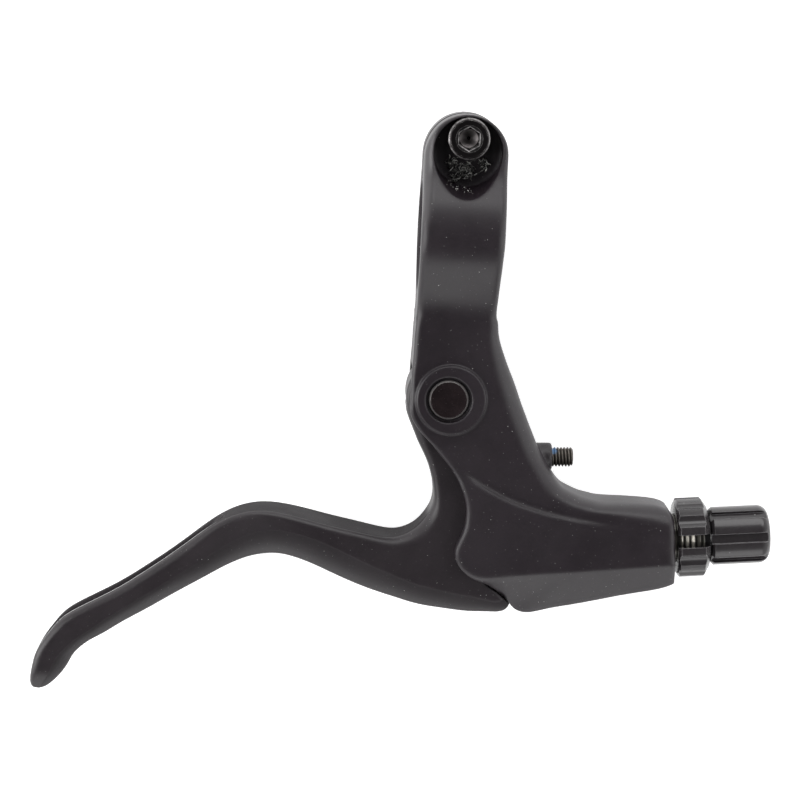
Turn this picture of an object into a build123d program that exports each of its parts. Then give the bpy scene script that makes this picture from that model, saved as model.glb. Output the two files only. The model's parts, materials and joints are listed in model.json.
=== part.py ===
from build123d import *
import math
import os

# Bicycle brake lever with a split handlebar clamp, all sizes in millimetres.
# Origin: centre of the handlebar clamp. X runs along the bar, Y points to the
# rider, Z points up out of the flat face of the lever.

# Handlebar clamp
BAR_DIAMETER = 22.2
BAR_CLEARANCE = 0.05
CLAMP_WALL = 3.85
BAND_LEFT = 8.5
BAND_RIGHT = 8.0
CLAMP_SLIT = 2.6
EAR_HALF_HEIGHT = 9.3
BOLT_TO_BORE = 8.8
EAR_END_RADIUS = 8.25

# Clamp bolt
BOLT_DIAMETER = 5.0
BOLT_LENGTH = 14.0
BOLT_HEAD_DIAMETER = 8.25
BOLT_HEAD_HEIGHT = 5.0
BOLT_HEX = 4.0
BOLT_HEX_MOUTH = 5.3
BOLT_SEAT_HEIGHT = 5.4
BOLT_HOLE_CLEARANCE = 0.25
THREAD_CLEARANCE = 0.05
POCKET_HEAD_GAP = 0.15
POCKET_RADIUS = 6.9
POCKET_REACH = 9.2

# Pivot, placed from the bar bore
PIVOT_X = -1.1
PIVOT_DROP = 21.0
PIN_DIAMETER = 6.0
PIN_HEAD_DIAMETER = 7.9
PIN_HEAD_THICKNESS = 0.9
PIN_CLEARANCE = 0.03
BUSH_WALL = 1.0
BUSH_FLANGE_DIAMETER = 11.2
BUSH_FLANGE_THICKNESS = 0.25
BOSS_DIAMETER = 14.0
BOSS_HEIGHT = 0.8
BOSS_SHIFT = 0.5
COUNTERBORE_CLEARANCE = 0.7
COUNTERBORE_DEPTH = 1.3
PIVOT_SCREW_DIAMETER = 4.0
PIVOT_SCREW_HEX = 2.5

# Lever blade
BLADE_WIDTH = 13.6
ROOT_WIDTH = 11.4
EYE_RADIUS = 8.45
GROOVE_WIDTH = 4.8
GROOVE_DEPTH = 4.0
SPRING_SLOT_RADIUS = 5.6
NIPPLE_DIAMETER = 7.0
NIPPLE_CLEARANCE = 0.1
NIPPLE_SEAT_LENGTH = 8.9
NIPPLE_OFFSET = 6.0
NIPPLE_DOOR_GAP = 0.6
CABLE_SLOT = 2.2

# Body round the blade root
SIDE_GAP = 0.3
CHEEK_WALL = 2.2
CHEEK_STEP = 1.0
ROOT_CLEARANCE = 1.2
CORNER_RADIUS = 39.2
CORNER_GAP = 0.35

# Cable line, nose and adjuster
CABLE_ARM = 32.05
CABLE_ANGLE = 5.5
NOSE_LENGTH = 44.8
ADJUSTER_THREAD = 9.9
ADJUSTER_THREAD_LENGTH = 19.4
ADJUSTER_HEAD_DIAMETER = 11.9
ADJUSTER_HEAD_LENGTH = 12.3
ADJUSTER_GROOVE_COUNT = 7
ADJUSTER_GROOVE_WIDTH = 1.9
ADJUSTER_GROOVE_DEPTH = 0.7
ADJUSTER_TURN = -4.5
HOUSING_DIAMETER = 5.0
HOUSING_CLEARANCE = 0.05
HOUSING_DEPTH = 8.0
CABLE_HOLE = 2.0
RING_TURN = -5.2
LOCK_RING_DIAMETER = 16.2
LOCK_RING_LENGTH = 6.5
LOCK_RING_GAP = 0.6
LOCK_RING_SLOT = 2.6
LOCK_RING_FLAT_COUNT = 12
LOCK_RING_BEVEL = 1.65
HEAD_GAP = 0.35
THREAD_BORE_DEPTH = 14.0

# Reach adjusting screw
REACH_DIAMETER = 4.0
REACH_TIP = 10.3
REACH_ANGLE = 2.6
REACH_DROP = 12.95
REACH_END = 25.7
REACH_HEX = 2.0
REACH_BOSS_DIAMETER = 5.8
STOP_PAD_DIAMETER = 6.4
REACH_BOSS_END = 21.4
STOP_GAP = 0.03

# Return spring
SPRING_WIRE = 0.9
SPRING_TURNS = 4
SPRING_COIL_GAP = 0.12
SPRING_PIN_GAP = 0.55
SPRING_BLADE_LEG = 8.5
SPRING_LEG_CLEARANCE = 0.1

# Sizes that follow from the ones above
bore_radius = BAR_DIAMETER / 2 + BAR_CLEARANCE
ring_radius = bore_radius + CLAMP_WALL
bolt_y = bore_radius + BOLT_TO_BORE
pivot_y = -(bore_radius + PIVOT_DROP)
cavity_half = ROOT_WIDTH / 2 + SIDE_GAP
neck_half = cavity_half + CHEEK_WALL
cheek_half = neck_half + CHEEK_STEP
boss_top = neck_half + BOSS_HEIGHT
seat_floor = boss_top - COUNTERBORE_DEPTH
pin_radius = PIN_DIAMETER / 2
bush_radius = pin_radius + PIN_CLEARANCE + BUSH_WALL
pivot = Pos(PIVOT_X, pivot_y, 0)
cable_line = pivot * Rot(0, 0, CABLE_ANGLE) * Pos(0, -CABLE_ARM, 0) * Rot(0, 90, 0)
reach_line = pivot * Rot(0, 0, REACH_ANGLE) * Pos(0, -REACH_DROP, 0) * Rot(0, 90, 0)
cable_turn = math.radians(CABLE_ANGLE)
nose_end = NOSE_LENGTH * math.cos(cable_turn) + CABLE_ARM * math.sin(cable_turn)
spring_radius = pin_radius + SPRING_PIN_GAP + SPRING_WIRE / 2
spring_pitch = SPRING_WIRE + SPRING_COIL_GAP
spring_height = spring_pitch * SPRING_TURNS
spring_room = spring_height / 2 + SPRING_WIRE / 2 + SPRING_LEG_CLEARANCE
cavity_radius = EYE_RADIUS + ROOT_CLEARANCE
spring_neck_leg = math.sqrt(cavity_radius**2 - (spring_radius + SPRING_WIRE / 2) ** 2) - 0.1


def cylinder(radius, bottom, top):
    """Solid cylinder on the local Z axis between two heights."""
    return Pos(0, 0, (bottom + top) / 2) * Cylinder(radius, top - bottom)


def block(x0, x1, y0, y1, z0, z1):
    """Box between two corners."""
    centre = Pos((x0 + x1) / 2, (y0 + y1) / 2, (z0 + z1) / 2)
    return centre * Box(x1 - x0, y1 - y0, z1 - z0)


def section_plane(start, end):
    """Upright plane whose local X runs from start to end and local Y is up."""
    run_x = end[0] - start[0]
    run_y = end[1] - start[1]
    return Plane(origin=(start[0], start[1], 0), x_dir=(run_x, run_y, 0), z_dir=(run_y, -run_x, 0))


def round_corner(start, corner, end, flat_start=0.0, flat_end=0.0):
    """Quarter ellipse from start to end, or a flatter bevel as the flat shares rise to 1."""

    def lean(point, other, flat):
        bend = 0.5523 * (1 - flat)
        straight = flat / 3
        x = point[0] + (corner[0] - point[0]) * bend + (other[0] - point[0]) * straight
        y = point[1] + (corner[1] - point[1]) * bend + (other[1] - point[1]) * straight
        return (x, y)

    return Bezier(start, lean(start, end, flat_start), lean(end, start, flat_end), end)


def body_section(right, left, low, high, step_at, right_round, left_round, flat=0.0):
    """Closed section of the body: low on the right of the step, high on its left."""
    length = math.dist(right, left)
    ra, rz = right_round
    la, lz = left_round
    between = length - ra - la
    slope = min(0.8, between * 0.3)
    margin = min(0.6, between * 0.2)
    last = length - la - slope - margin
    step = last if step_at is None else min(max(step_at, ra + margin), last)
    top = [
        (0, 0), (0, low - rz), (ra, low), (step, low), (step + slope, high),
        (length - la, high), (length, high - lz), (length, 0),
    ]
    under = [(x, -y) for x, y in reversed(top)]
    edges = [
        Line(top[0], top[1]),
        round_corner(top[1], (0, low), top[2]),
        Line(top[2], top[3]),
        Line(top[3], top[4]),
        Line(top[4], top[5]),
        round_corner(top[5], (length, high), top[6], flat, flat),
        Line(top[6], top[7]),
        Line(under[0], under[1]),
        round_corner(under[1], (length, -high), under[2], flat, flat),
        Line(under[2], under[3]),
        Line(under[3], under[4]),
        Line(under[4], under[5]),
        round_corner(under[5], (0, -low), under[6]),
        Line(under[6], under[7]),
    ]
    return section_plane(right, left) * Wire(edges)


def band_height(y):
    """Half height of the clamp band: the ring, blended into the ear and the neck."""
    if y < 0:
        wave = (1 + math.cos(math.pi * min(y / neck_top(), 1))) / 2
        return neck_half + (band_height(0) - neck_half) * wave
    rise = math.sqrt(max(ring_radius**2 - y**2, 0)) - EAR_HALF_HEIGHT
    return EAR_HALF_HEIGHT + (rise + math.sqrt(rise**2 + 4)) / 2


def neck_top():
    """Where the clamp band hands over to the lower body."""
    return pivot_y + 16.0


def clamp_band():
    """Ear, ring and upper neck as one loft along Y."""
    wires = []
    ear_centre = bolt_y - 3.6
    middle = (BAND_RIGHT - BAND_LEFT) / 2 + 0.1
    for degrees in (84, 74, 62, 45, 24):
        angle = math.radians(degrees)
        y = ear_centre + EAR_END_RADIUS * math.sin(angle)
        half = EAR_END_RADIUS * math.cos(angle)
        left_of_end = ear_centre + EAR_END_RADIUS - y
        inset = max(1.5 - left_of_end, 0)
        height = band_height(y) - 1.5 + math.sqrt(max(2.25 - inset**2, 0.04))
        soft = min(1.5, half * 0.45)
        right = (middle + half, y)
        left = (middle - half, y)
        wires.append(body_section(right, left, height, height, None, (soft, 1.5), (soft, 1.5)))
    for share in (1.0, 0.84, 0.68, 0.5, 0.34, 0.17, 0.0):
        y = ear_centre * share
        right = (BAND_RIGHT, y)
        left = (-BAND_LEFT, y)
        wires.append(body_section(right, left, band_height(y), band_height(y), None, (1.6, 1.6), (1.5, 1.5)))
    for share in (0.2, 0.4, 0.6, 0.76, 0.9):
        y = neck_top() * share
        right = (BAND_RIGHT - 0.5 * share, y)
        left = (-BAND_LEFT + 0.15 * share, y)
        wires.append(body_section(right, left, band_height(y), band_height(y), None, (1.8, 1.8), (1.4, 1.4)))
    wires.append(neck_section())
    return Solid.make_loft(wires)


def from_pivot(x, y):
    return (PIVOT_X + x, pivot_y + y)


def neck_section():
    """Section shared by the clamp band and the lower body."""
    right = from_pivot(9.0, 16.0)
    left = from_pivot(-7.4, 16.0)
    return body_section(right, left, neck_half, neck_half, None, (2.0, 2.0), (1.3, 1.3))


def crossing(right, left, curve):
    """Distance from right, on the way to left, where the section passes below a curve."""
    length = math.dist(right, left)
    low, high = 0.0, 1.0
    for _ in range(40):
        middle = (low + high) / 2
        x = right[0] + (left[0] - right[0]) * middle
        y = right[1] + (left[1] - right[1]) * middle
        if y > curve(x):
            low = middle
        else:
            high = middle
    return low * length


def step_curve(x):
    """Top edge of the raised cheek, seen from the flat side."""
    return -24.9 + 11.9 * math.exp(-(x - 2.6) / 13.2)


def bevel_curve(x):
    """Top edge of the soft bevel along the bottom."""
    return -37.0 + 0.114 * x


# Lower body, fanned from the neck to the nose: right edge, left edge, share of
# the cheek step, right rounding, left rounding height. Points run from the pivot.
NECK_STATIONS = [
    ((9.3, 13.8), (-7.4, 13.4), 0.0, 2.2, 0.8),
    ((9.9, 11.4), (-7.45, 10.8), 0.0, 2.6, 0.8),
    ((10.8, 9.0), (-7.5, 8.2), 0.0, 3.0, 0.8),
    ((11.8, 6.6), (-7.6, 5.8), 0.0, 3.4, 0.8),
    ((12.9, 4.2), (-7.65, 3.4), 0.0, 3.7, 0.8),
    ((13.9, 1.8), (-7.65, 1.2), 0.0, 3.9, 0.8),
    ((14.8, -0.5), (-7.65, -1.0), 0.0, 4.0, 0.8),
    ((15.8, -2.8), (-7.5, -3.2), 0.0, 4.0, 0.8),
    ((16.8, -5.1), (-6.5, -5.3), 0.0, 4.0, 0.8),
    ((17.9, -7.5), (-4.9, -7.3), 0.0, 4.0, 0.8),
    ((18.9, -9.7), (-2.8, -9.4), 0.0, 4.0, 0.8),
    ((20.1, -11.8), (-0.8, -11.7), 0.0, 4.0, 0.8),
    ((21.4, -13.7), (1.1, -13.9), 0.05, 4.0, 0.8),
    ((22.4, -15.3), (2.5, -15.9), 0.4, 4.0, 0.8),
    ((23.4, -16.6), (3.6, -18.0), 0.9, 4.0, 0.8),
    ((24.5, -17.6), (4.4, -20.1), 1.0, 4.1, 0.8),
    ((25.9, -18.3), (4.8, -22.3), 1.0, 4.2, 0.8),
    ((27.3, -18.9), (4.8, -24.6), 1.0, 4.2, 0.8),
    ((28.8, -19.4), (4.4, -26.8), 0.98, 4.2, 0.8),
    ((30.3, -19.7), (3.6, -28.8), 0.94, 4.2, 0.8),
    ((31.8, -20.0), (3.0, -30.8), 0.87, 4.2, 0.8),
    ((33.2, -20.1), (3.3, -32.8), 0.77, 4.2, 0.8),
    ((34.6, -20.1), (4.7, -34.8), 0.65, 4.2, 0.8),
    ((36.0, -20.07), (7.0, -36.6), 0.52, 4.2, 1.5),
    ((37.4, -20.05), (9.9, -37.8), 0.4, 4.2, 2.2),
    ((38.6, -20.05), (12.4, -39.4), 0.3, 4.2, 3.0),
    ((39.7, -20.06), (14.4, -41.3), 0.22, 4.2, 4.0),
    ((40.6, -20.07), (15.9, -43.1), 0.16, 4.2, 4.7),
    ((41.4, -20.1), (18.4, -43.85), 0.12, 4.2, 4.8),
    ((42.2, -20.14), (22.5, -42.95), 0.09, 4.1, 4.8),
    ((43.0, -20.2), (26.9, -41.9), 0.06, 4.1, 4.6),
    ((43.8, -20.3), (31.6, -40.8), 0.04, 4.0, 4.5),
    ((44.6, -20.46), (36.6, -39.5), 0.03, 3.9, 4.3),
    ((45.4, -20.74), (41.4, -38.4), 0.02, 3.7, 4.1),
    ((46.2, -21.2), (46.2, -37.2), 0.02, 3.4, 4.0),
]


def on_nose(x, y):
    """Point from the pivot, moved along with the nose's end where it lies on the nose."""
    start, drawn_end = 24.0, 47.7
    if x > start:
        x = start + (x - start) * (nose_end - start) / (drawn_end - start)
    return from_pivot(x, y)


def lower_body():
    """Neck, cheeks and nose as one loft whose sections turn from across to along."""
    wires = [neck_section()]
    for right, left, share, right_round, left_height in NECK_STATIONS:
        step = crossing(right, left, step_curve) if share > 0 else None
        length = math.dist(right, left)
        bevel = length - crossing(right, left, bevel_curve)
        left_round = max(bevel, left_height) if left_height > 1.0 else left_height
        high = neck_half + CHEEK_STEP * share
        flat = min(max((left_height - 0.8) / 2.2, 0), 1)
        wires.append(
            body_section(
                on_nose(*right), on_nose(*left), neck_half, high, step,
                (right_round, right_round * 1.15), (left_round, left_height), flat,
            )
        )
    right = on_nose(47.1, -22.5)
    left = on_nose(48.3, -36.1)
    wires.append(body_section(right, left, neck_half - 1.1, neck_half - 1.08, 5, (2.8, 3.2), (4.2, 3.2), 1.0))
    return Solid.make_loft(wires)


def pivot_boss(side):
    """Raised ring round the pin's head on one cheek, flared into it and rounded on top."""
    wall = BOSS_DIAMETER / 2
    soft = BOSS_HEIGHT / 2
    foot = neck_half - 0.02
    middle = (wall, foot + soft)
    flare = RadiusArc((wall + soft, foot), middle, soft)
    crown = RadiusArc(middle, (wall - soft, boss_top), -soft)
    base = Polyline(crown @ 1, (0, boss_top), (0, foot - 1.0), (wall + soft, foot - 1.0), flare @ 0)
    profile = make_face(Plane.XZ * (flare + crown + base))
    boss = Pos(BOSS_SHIFT, 0, 0) * revolve(profile, Axis.Z)
    return pivot * (boss if side > 0 else Rot(180, 0, 0) * boss)


def reach_boss():
    """Round boss that carries the reach screw's thread."""
    boss = cylinder(REACH_BOSS_DIAMETER / 2, REACH_BOSS_END - 8, REACH_BOSS_END)
    boss = fillet(boss.edges().group_by(Axis.Z)[-1], 0.6)
    return reach_line * boss


def pocket_outline(reach, rise):
    """Bolt pocket at one height: round at the ear's end, drawn out towards the ring."""
    centre_y = bolt_y + BOLT_HEAD_DIAMETER / 2 + POCKET_HEAD_GAP - POCKET_RADIUS
    wide = POCKET_RADIUS
    edges = [
        ThreePointArc((wide, 0), (0, wide), (-wide, 0)),
        round_corner((-wide, 0), (-wide, -reach), (0, -reach)),
        round_corner((0, -reach), (wide, -reach), (wide, 0)),
    ]
    return Pos(0, centre_y, BOLT_SEAT_HEIGHT + rise) * Wire(edges)


def clamp_cuts():
    """Bar bore, slit, bolt pocket and bolt holes of the clamp."""
    bore = Rot(0, 90, 0) * Cylinder(bore_radius, 60)
    slit = block(-40, 40, 0, 60, -CLAMP_SLIT / 2, CLAMP_SLIT / 2)
    pocket = Solid.make_loft([pocket_outline(POCKET_RADIUS, 0), pocket_outline(POCKET_REACH, 7.2)])
    pocket += extrude(Face(pocket_outline(POCKET_REACH, 7.2)), amount=8)
    clear = Pos(0, bolt_y, 0) * cylinder(BOLT_DIAMETER / 2 + BOLT_HOLE_CLEARANCE, 0, 30)
    tapped = Pos(0, bolt_y, 0) * cylinder(BOLT_DIAMETER / 2 + THREAD_CLEARANCE, -30, 0)
    return [bore, slit, pocket, clear, tapped]


def root_cavity():
    """Gap between the cheeks where the blade root swings, ending at the nose's solid corner."""
    top = cavity_radius
    edge = [
        (top, 0), (11.9, -10.0), (14.6, -17.6), (16.3, -25.0), (16.9, -32.0), (16.6, -39.0), (16.3, -60.0),
        (-40.0, -60.0), (-40.0, 0), (-top, 0),
    ]
    outline = Polyline(*edge) + RadiusArc((-top, 0), (top, 0), top)
    region = make_face(outline)
    room = Pos(0, 0, -cavity_half) * extrude(region, amount=2 * cavity_half)
    corner = block(8.0, 40, -70, -30, -30, 30) - cylinder(CORNER_RADIUS, -40, 40)
    return pivot * (room - corner)


def pivot_cuts():
    """Pin hole through both cheeks with a counterbore at each end."""
    hole = cylinder(pin_radius + PIN_CLEARANCE, -30, 30)
    recess = PIN_HEAD_DIAMETER / 2 + COUNTERBORE_CLEARANCE
    return [
        pivot * hole,
        pivot * cylinder(recess, seat_floor, 30),
        pivot * cylinder(recess, -30, -seat_floor),
    ]


def nose_cuts():
    """Adjuster thread, cable way and the slot that lets the cable in from the front."""
    thread_radius = ADJUSTER_THREAD / 2 + THREAD_CLEARANCE
    thread = cylinder(thread_radius, NOSE_LENGTH - THREAD_BORE_DEPTH, NOSE_LENGTH + 20)
    way = cylinder(CABLE_SLOT, 0, NOSE_LENGTH)
    slot = block(-CABLE_SLOT / 2, CABLE_SLOT / 2, -40, 0, 0, NOSE_LENGTH + 20)
    return [cable_line * thread, cable_line * way, cable_line * slot]


def nipple_door():
    """Notch in the far cheek through which the cable's end reaches its seat."""
    radius = NIPPLE_DIAMETER / 2 + NIPPLE_CLEARANCE + NIPPLE_DOOR_GAP
    inside = 0.5 - cavity_half
    way = cylinder(radius, -30, inside) + block(-30, 0, -radius, radius, -30, inside)
    return pivot * Rot(0, 0, CABLE_ANGLE) * Pos(NIPPLE_OFFSET, -CABLE_ARM, 0) * way


def lever_body():
    """Cast body: clamp band, neck, cheeks and nose with every bore cut."""
    body = clamp_band() + lower_body() + pivot_boss(1) + pivot_boss(-1) + reach_boss()
    tapped = reach_line * cylinder(REACH_DIAMETER / 2 + THREAD_CLEARANCE, 0, REACH_BOSS_END + 20)
    return body - clamp_cuts() - root_cavity() - pivot_cuts() - nose_cuts() - nipple_door() - tapped


def blade_section(top, bottom, half, soft, round_depth):
    """Closed section of the blade: flat bar side, straight sides, round front edge."""
    length = math.dist(top, bottom)
    side = min(soft, half * 0.45)
    deep = min(round_depth, length - soft - 0.3)
    points = [(0, 0), (0, half - side), (soft, half), (length - deep, half), (length, 0)]
    under = [(x, -y) for x, y in reversed(points)]
    edges = [
        Line(points[0], points[1]),
        round_corner(points[1], (0, half), points[2]),
        Line(points[2], points[3]),
        round_corner(points[3], (length, half), points[4], 0.75, 0.1),
        round_corner(under[0], (length, -half), under[1], 0.1, 0.75),
        Line(under[1], under[2]),
        round_corner(under[2], (0, -half), under[3]),
        Line(under[3], under[4]),
    ]
    return section_plane(from_pivot(*top), from_pivot(*bottom)) * Wire(edges)


# Blade from the tip to the eye: bar side, front edge, share of the full width (0 for
# the root's own width), softness of the bar-side edges, depth of the front rounding.
# Points run from the pivot.
BLADE_STATIONS = [
    ((-81.6, -64.8), (-80.0, -65.0), 0.28, 0.4, 0.6),
    ((-82.2, -63.9), (-78.4, -64.2), 0.48, 1.0, 1.6),
    ((-82.3, -62.3), (-76.7, -62.5), 0.61, 1.4, 2.4),
    ((-82.0, -60.2), (-75.1, -60.2), 0.68, 1.5, 2.8),
    ((-81.5, -57.8), (-73.9, -57.9), 0.71, 1.5, 3.0),
    ((-80.4, -55.3), (-72.1, -55.9), 0.73, 1.4, 3.1),
    ((-78.5, -52.5), (-70.1, -54.4), 0.74, 1.3, 3.2),
    ((-76.2, -49.7), (-67.6, -52.9), 0.74, 1.4, 3.2),
    ((-72.6, -47.2), (-65.1, -51.2), 0.74, 1.4, 3.2),
    ((-68.5, -44.9), (-62.1, -49.3), 0.74, 1.4, 3.2),
    ((-64.3, -42.4), (-58.8, -47.3), 0.74, 1.4, 3.3),
    ((-60.0, -39.4), (-55.2, -45.0), 0.74, 1.4, 3.4),
    ((-55.4, -36.0), (-51.2, -42.5), 0.74, 1.4, 3.6),
    ((-50.8, -32.3), (-47.1, -40.0), 0.75, 1.4, 3.9),
    ((-46.5, -28.9), (-43.5, -37.8), 0.77, 1.1, 4.4),
    ((-42.5, -26.5), (-40.3, -36.2), 0.8, 1.1, 5.0),
    ((-38.4, -25.2), (-37.4, -35.2), 0.85, 1.2, 5.6),
    ((-34.8, -25.0), (-34.4, -34.7), 0.9, 1.2, 5.9),
    ((-31.2, -25.4), (-31.6, -34.8), 0.95, 1.3, 6.0),
    ((-27.6, -26.1), (-28.6, -35.5), 0.98, 1.3, 6.1),
    ((-23.6, -27.0), (-25.2, -36.7), 1.0, 1.3, 6.2),
    ((-19.6, -27.8), (-21.4, -38.3), 1.0, 1.3, 6.2),
    ((-15.8, -28.5), (-17.4, -39.9), 0.99, 1.4, 6.1),
    ((-12.4, -29.1), (-13.0, -41.4), 0.97, 1.6, 5.9),
    ((-9.4, -29.2), (-8.4, -42.7), 0.94, 2.0, 5.7),
    ((-6.9, -28.4), (-3.6, -43.9), 0.91, 2.4, 5.5),
    ((-4.9, -27.0), (1.4, -44.5), 0.88, 2.8, 5.3),
    ((-3.4, -25.2), (6.3, -44.9), 0.85, 2.8, 5.0),
    ((-2.2, -23.0), (10.9, -44.8), 0, 2.5, 4.4),
    ((-1.8, -20.7), (14.4, -44.1), 0, 2.3, 3.2),
    ((-2.0, -18.6), (15.6, -41.2), 0, 2.2, 2.4),
    ((-2.5, -16.3), (15.7, -34.6), 0, 2.1, 2.0),
    ((-3.2, -14.1), (15.2, -28.2), 0, 2.0, 2.0),
    ((-4.2, -11.9), (13.8, -22.0), 0, 2.0, 2.0),
    ((-5.5, -9.5), (12.2, -16.0), 0, 2.0, 2.0),
    ((-6.7, -6.9), (10.6, -10.3), 0, 2.0, 2.0),
    ((-8.0, -3.9), (9.0, -5.0), 0, 2.0, 2.0),
    ((-7.5, -0.9), (7.5, -0.9), 0, 2.0, 2.0),
]


def blade_blank():
    """Blade before its pockets: one loft from the tip to the eye, and the eye."""
    wires = []
    for top, bottom, share, soft, round_depth in BLADE_STATIONS:
        half = BLADE_WIDTH / 2 * share if share else ROOT_WIDTH / 2
        wires.append(blade_section(top, bottom, half, soft, round_depth))
    eye = cylinder(EYE_RADIUS, -ROOT_WIDTH / 2, ROOT_WIDTH / 2)
    return Solid.make_loft(wires) + pivot * fillet(eye.edges(), 1.0)


def groove_section(top, bottom, depth):
    """Channel section at one station: rounded floor, sides that open outwards."""
    half = GROOVE_WIDTH / 2
    corner = half * 0.45
    points = [(-6, half + 0.9), (depth - corner, half), (depth, half - corner)]
    under = [(x, -y) for x, y in reversed(points)]
    edges = [
        Line(points[0], points[1]),
        round_corner(points[1], (depth, half), points[2]),
        Line(points[2], under[0]),
        round_corner(under[0], (depth, -half), under[1]),
        Line(under[1], under[2]),
        Line(under[2], points[0]),
    ]
    return section_plane(from_pivot(*top), from_pivot(*bottom)) * Wire(edges)


def finger_groove():
    """Long channel in the bar side of the finger part, running out at both ends."""
    stations = BLADE_STATIONS[5:16]
    wires = []
    for index, station in enumerate(stations):
        share = index / (len(stations) - 1)
        depth = GROOVE_DEPTH * min(1, 4.5 * share, 4.5 * (1 - share)) - 0.4
        wires.append(groove_section(station[0], station[1], depth))
    return Solid.make_loft(wires)


def nipple_seat():
    """Round seat for the cable's end, open to the far side, with the cable's slot."""
    far = -ROOT_WIDTH / 2
    seat = cylinder((NIPPLE_DIAMETER / 2) + NIPPLE_CLEARANCE, far - 5, far + NIPPLE_SEAT_LENGTH)
    slot = block(0, 40, -CABLE_SLOT / 2, CABLE_SLOT / 2, far - 5, CABLE_SLOT / 2)
    return pivot * Rot(0, 0, CABLE_ANGLE) * Pos(NIPPLE_OFFSET, -CABLE_ARM, 0) * (seat + slot)


def spring_slot():
    """Room for the return spring inside the eye, open towards the neck."""
    ring = cylinder(SPRING_SLOT_RADIUS, -spring_room, spring_room)
    door = block(-2.0, 20, -1.0, 20, -spring_room, spring_room)
    hole = Pos(spring_radius, 0, -spring_height / 2) * Rot(90, 0, 0)
    hole *= cylinder(SPRING_WIRE / 2 + SPRING_LEG_CLEARANCE, 0, SPRING_BLADE_LEG + 0.3)
    return pivot * (ring + door + hole)


def stop_pad():
    """Round pad on the blade root that meets the reach screw's tip."""
    return reach_line * cylinder(STOP_PAD_DIAMETER / 2, REACH_TIP - STOP_GAP - 5, REACH_TIP - STOP_GAP)


def stop_room():
    """Clear way for the reach screw in front of its pad."""
    return reach_line * cylinder(STOP_PAD_DIAMETER / 2, REACH_TIP - STOP_GAP, REACH_TIP + 20)


def corner_room():
    """Clear way for the nose's solid corner, which leaves the blade a slanted toe below it."""
    slant = [left for right, left, *others in NECK_STATIONS if left[1] < -37.5 and left[0] < 16]
    slant = [(x - 0.63 * CORNER_GAP, y - 0.77 * CORNER_GAP) for x, y in slant]
    start = slant[0][0] - 0.4
    edge = [(start, -30), (start, slant[0][1] + 0.2), *slant, (24, -54), (40, -54), (40, -30)]
    cut = Pos(0, 0, -30) * extrude(make_face(Polyline(*edge, close=True)), amount=60)
    return pivot * (cut - cylinder(CORNER_RADIUS - CORNER_GAP, -40, 40))


def lever_blade():
    """Finger blade with its groove, eye bore, spring slot, cable seat and stop pad."""
    bore = pivot * cylinder(bush_radius, -30, 30)
    blade = blade_blank() + stop_pad()
    return blade - finger_groove() - bore - spring_slot() - nipple_seat() - stop_room() - corner_room()


def hex_socket(across, bottom, top):
    """Hexagon recess with a cone at its bottom, on the local Z axis."""
    flat = Pos(0, 0, bottom) * Rot(0, 0, 90) * RegularPolygon(across / 2, 6, major_radius=False)
    cone = Pos(0, 0, bottom - across * 0.15) * Cone(0.05, across / 2, across * 0.3)
    return extrude(flat, amount=top - bottom) + cone


def clamp_bolt():
    """Socket head cap screw that closes the clamp."""
    seat = BOLT_SEAT_HEIGHT
    head = cylinder(BOLT_HEAD_DIAMETER / 2, seat, seat + BOLT_HEAD_HEIGHT)
    head = chamfer(head.edges().group_by(Axis.Z)[-1], 0.5)
    shank = cylinder(BOLT_DIAMETER / 2, seat - BOLT_LENGTH, seat)
    shank = chamfer(shank.edges().group_by(Axis.Z)[0], 0.5)
    top = seat + BOLT_HEAD_HEIGHT
    mouth = Pos(0, 0, top - 0.2) * Cone(BOLT_HEX / 2, BOLT_HEX_MOUTH / 2, 0.4)
    return Pos(0, bolt_y, 0) * (head + shank - hex_socket(BOLT_HEX, top - 2.6, top + 1) - mouth)


def pivot_pin():
    """Headed sleeve through both cheeks, tapped from the far end."""
    head = cylinder(PIN_HEAD_DIAMETER / 2, seat_floor, seat_floor + PIN_HEAD_THICKNESS)
    head = chamfer(head.edges().group_by(Axis.Z)[-1], 0.35)
    shank = cylinder(pin_radius, -seat_floor + 0.1, seat_floor)
    tapped = cylinder(PIVOT_SCREW_DIAMETER / 2 + THREAD_CLEARANCE, -30, seat_floor - 2.0)
    return pivot * (head + shank - tapped)


def pivot_screw():
    """Low-head screw that closes the pin from the far side."""
    low = -seat_floor - PIN_HEAD_THICKNESS
    head = cylinder(PIN_HEAD_DIAMETER / 2, low, -seat_floor)
    head = chamfer(head.edges().group_by(Axis.Z)[0], 0.35)
    shank = cylinder(PIVOT_SCREW_DIAMETER / 2, -seat_floor, seat_floor - 4.0)
    socket = hex_socket(PIVOT_SCREW_HEX, -1.6, 1)
    return pivot * (head + shank - Pos(0, 0, low) * Rot(180, 0, 0) * socket)


def pivot_bush(side):
    """Flanged bush pressed in one end of the blade's eye."""
    inner = pin_radius + PIN_CLEARANCE
    face = ROOT_WIDTH / 2
    sleeve = cylinder(bush_radius, spring_room, face)
    flange = cylinder(BUSH_FLANGE_DIAMETER / 2, face, face + BUSH_FLANGE_THICKNESS)
    bush = sleeve + flange - cylinder(inner, -30, 30)
    return pivot * (bush if side > 0 else Rot(180, 0, 0) * bush)


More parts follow.
